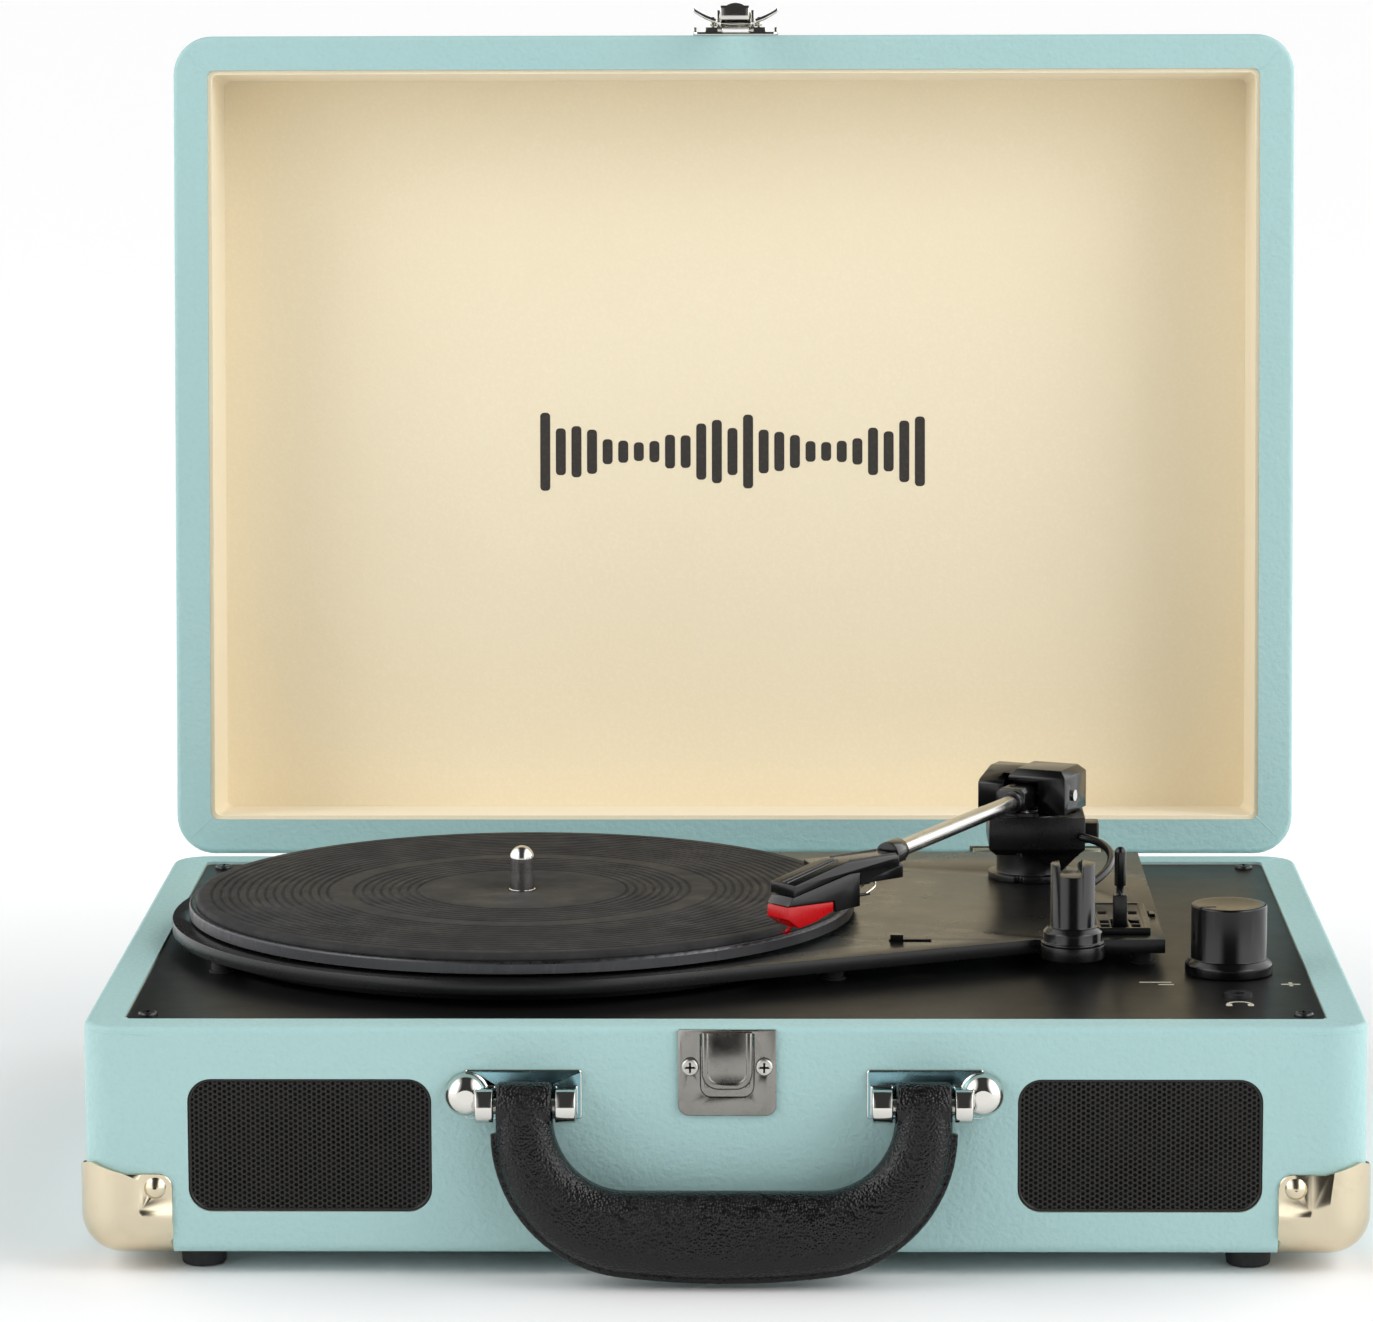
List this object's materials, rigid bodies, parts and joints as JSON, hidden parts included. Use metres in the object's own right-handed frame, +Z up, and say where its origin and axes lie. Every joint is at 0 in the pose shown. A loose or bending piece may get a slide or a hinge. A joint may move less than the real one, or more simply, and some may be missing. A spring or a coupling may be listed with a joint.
{
  "type": "suitcase record player",
  "caption": "Portable belt-drive record player built into a leatherette suitcase with hinged lid, front grilles, carrying handle and cueing tonearm.",
  "frame": {"origin": "on the table plane under the middle of the open player's plan", "axes": "+Z up, +Y towards the open lid, +X to the right of someone facing the controls"},
  "size_m": [0.3544, 0.353, 0.3342],
  "materials": {
    "panel_wood": "raw fibreboard panels",
    "leatherette": "pale blue-green pebble-grain leatherette",
    "foot_rubber": "matte moulded rubber",
    "corner_metal": "warm bright plated pressed steel",
    "grille_cloth": "black woven speaker cloth on a stiff board",
    "plated_steel": "zinc plated",
    "speaker_cone": "pressed black paper",
    "magnet_ferrite": "plated ferrite",
    "brushed_plate": "brushed with bright edges",
    "dark_chrome": "bright plated, dark reflections",
    "deck_board": "fine matte black",
    "black_screws": "black cross-recess screws",
    "plate_plastic": "fine-textured black moulding",
    "polished_steel": "polished",
    "motor_can": "plated drawn can",
    "belt_rubber": "smooth drive belt",
    "black_gloss": "satin gloss black moulding",
    "jack_plastic": "black with metal contacts",
    "circuit_board": "green solder mask",
    "socket_metal": "nickel plated, coloured inserts",
    "hinge_metal": "plated pressed steel",
    "lid_lining": "cream flocked paper lining",
    "handle_skin": "black pebble-grain moulded handle",
    "platter_metal": "painted pressed platter",
    "mat_rubber": "ribbed black slip mat",
    "pulley_brass": "turned",
    "arm_chrome": "bright tube",
    "weight_steel": "bare steel block",
    "cartridge_plastic": "matte black",
    "stylus_red": "translucent-looking red moulding",
    "lever_plastic": "black moulded lever",
    "knob_gloss": "polished black"
  },
  "bodies": {
    "case": {"base_tub": "panel_wood", "base_covering": "leatherette", "feet": "foot_rubber", "corner_protectors": "corner_metal", "protector_rivets": "corner_metal", "speaker_grille_left": "grille_cloth", "speaker_grille_right": "grille_cloth", "speaker_frames": "plated_steel", "speaker_cones": "speaker_cone", "speaker_magnets": "magnet_ferrite", "strike_plate": "brushed_plate", "handle_bracket_left": "dark_chrome", "handle_bracket_right": "dark_chrome", "base_pins": "plated_steel", "base_screws": "plated_steel", "deck_panel": "deck_board", "deck_screws": "black_screws", "mechanism_plate": "plate_plastic", "isolation_mounts": "foot_rubber", "chassis_fasteners": "plated_steel", "spindle": "polished_steel", "motor": "motor_can", "drive_belt": "belt_rubber", "tonearm_housing": "plate_plastic", "cue_link": "black_gloss", "tonearm_rest": "black_gloss", "cue_bezel": "plate_plastic", "volume_potentiometer": "plated_steel", "headphone_jack": "jack_plastic", "amplifier_board": "circuit_board", "rear_jack_plate": "plate_plastic", "rca_sockets": "socket_metal", "power_inlet": "jack_plastic", "hinge_leaves_base": "hinge_metal"},
    "lid": {"lid_box": "panel_wood", "lid_covering": "leatherette", "lid_liner": "lid_lining", "hinge_leaves_lid": "hinge_metal", "hinge_screws_lid": "plated_steel", "latch_base_plate": "dark_chrome"},
    "latch_lever": {"latch_lever": "dark_chrome"},
    "latch_claw": {"latch_claw": "dark_chrome"},
    "handle": {"handle_grip": "handle_skin"},
    "platter": {"platter": "platter_metal", "platter_mat": "mat_rubber"},
    "motor_rotor": {"motor_pulley": "pulley_brass"},
    "tonearm_head": {"tonearm_head": "black_gloss", "tonearm_shaft": "polished_steel", "lift_pivot_pin": "polished_steel"},
    "tonearm": {"arm_tube": "arm_chrome", "arm_boss": "black_gloss", "counterweight": "weight_steel", "headshell": "black_gloss", "cartridge": "cartridge_plastic", "stylus": "stylus_red"},
    "cue_lever": {"cue_lever": "lever_plastic"},
    "cue_rail": {"cue_lift_rail": "black_gloss"},
    "volume_knob": {"volume_knob": "knob_gloss"},
    "speed_selector": {"speed_selector": "lever_plastic"},
    "auto_stop_switch": {"auto_stop_switch": "lever_plastic"}
  },
  "joints": [
    {"name": "lid_hinge", "type": "hinge", "parent": "case", "child": "lid", "pos_m": [0, 0.0999, 0.0694], "axis": [1, 0, 0], "range_deg": [0, 96]},
    {"name": "latch_lever_pivot", "type": "hinge", "parent": "lid", "child": "latch_lever", "pos_m": [0.0008, 0.14467, 0.32703], "axis": [-1, 0, 0], "range_deg": [0, 75]},
    {"name": "latch_claw_pivot", "type": "hinge", "parent": "latch_lever", "child": "latch_claw", "pos_m": [0.0008, 0.13693, 0.32986], "axis": [1, 0, 0], "range_deg": [0, 5]},
    {"name": "handle_swing", "type": "hinge", "parent": "case", "child": "handle", "pos_m": [0, -0.1654, 0.0493], "axis": [-1, 0, 0], "range_deg": [0, 110]},
    {"name": "platter_spin", "type": "hinge", "parent": "case", "child": "platter", "pos_m": [-0.0605, -0.028, 0.08], "axis": [0, 0, 1], "continuous": true},
    {"name": "motor_spin", "type": "hinge", "parent": "case", "child": "motor_rotor", "pos_m": [-0.1263, 0.01, 0.075], "axis": [0, 0, 1], "continuous": true},
    {"name": "tonearm_swing", "type": "hinge", "parent": "case", "child": "tonearm_head", "pos_m": [0.0904, 0.0266, 0.09], "axis": [0, 0, 1], "range_deg": [-20, 27.5]},
    {"name": "tonearm_lift", "type": "hinge", "parent": "tonearm_head", "child": "tonearm", "pos_m": [0.0904, 0.0266, 0.102], "axis": [-0.9198, 0.3923, 0], "range_deg": [0, 3]},
    {"name": "cue_lever_pivot", "type": "hinge", "parent": "case", "child": "cue_lever", "pos_m": [0.1124, -0.0574, 0.0715], "axis": [-1, 0, 0], "range_deg": [0, 25]},
    {"name": "cue_rail_lift", "type": "slide", "parent": "case", "child": "cue_rail", "axis": [0, 0, 1], "range_m": [0, 0.00067]},
    {"name": "volume_turn", "type": "hinge", "parent": "case", "child": "volume_knob", "pos_m": [0.1421, -0.0789, 0.08], "axis": [0, 0, -1], "range_deg": [0, 260]},
    {"name": "speed_select", "type": "slide", "parent": "case", "child": "speed_selector", "axis": [1, 0, 0], "range_m": [0, 0.0076]},
    {"name": "auto_stop_slide", "type": "slide", "parent": "case", "child": "auto_stop_switch", "axis": [0, 1, 0], "range_m": [0, 0.004]}
  ],
  "couplings": [
    {"joint": "motor_spin", "follows": "platter_spin", "ratio": 11.7},
    {"joint": "cue_lever_pivot", "follows": "tonearm_lift", "ratio": 8.3333},
    {"joint": "cue_rail_lift", "follows": "tonearm_lift", "m_per_rad": 0.0127}
  ]
}
